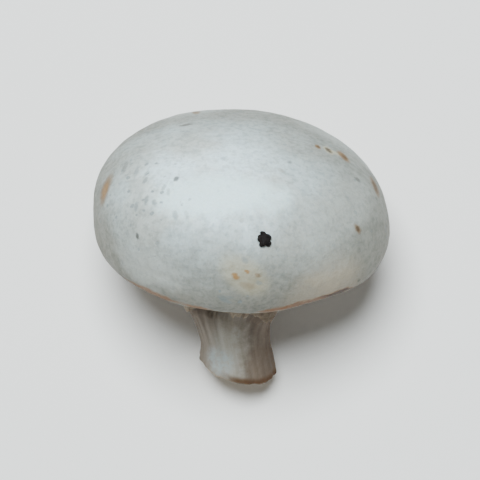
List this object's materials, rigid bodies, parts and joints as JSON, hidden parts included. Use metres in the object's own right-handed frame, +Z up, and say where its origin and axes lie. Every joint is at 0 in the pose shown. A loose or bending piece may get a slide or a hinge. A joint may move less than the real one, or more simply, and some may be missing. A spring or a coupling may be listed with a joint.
{
  "type": "button mushroom",
  "caption": "White closed-cup button mushroom as picked, lying on its cap's side: rounded cap with a rolled-in margin, a torn veil collar and a short cut stem.",
  "frame": {"origin": "centre of the bounding box's base, on the surface it lies on", "axes": "+Z up from the surface; the cut stem points along -Y and down, the cap's crown faces +Y and up, and +X is the cap's right with the stem towards the viewer"},
  "size_m": [0.047, 0.0442, 0.0411],
  "materials": {
    "mushroom_flesh": "matte"
  },
  "bodies": {
    "root": {"button_mushroom": "mushroom_flesh"}
  },
  "joints": []
}
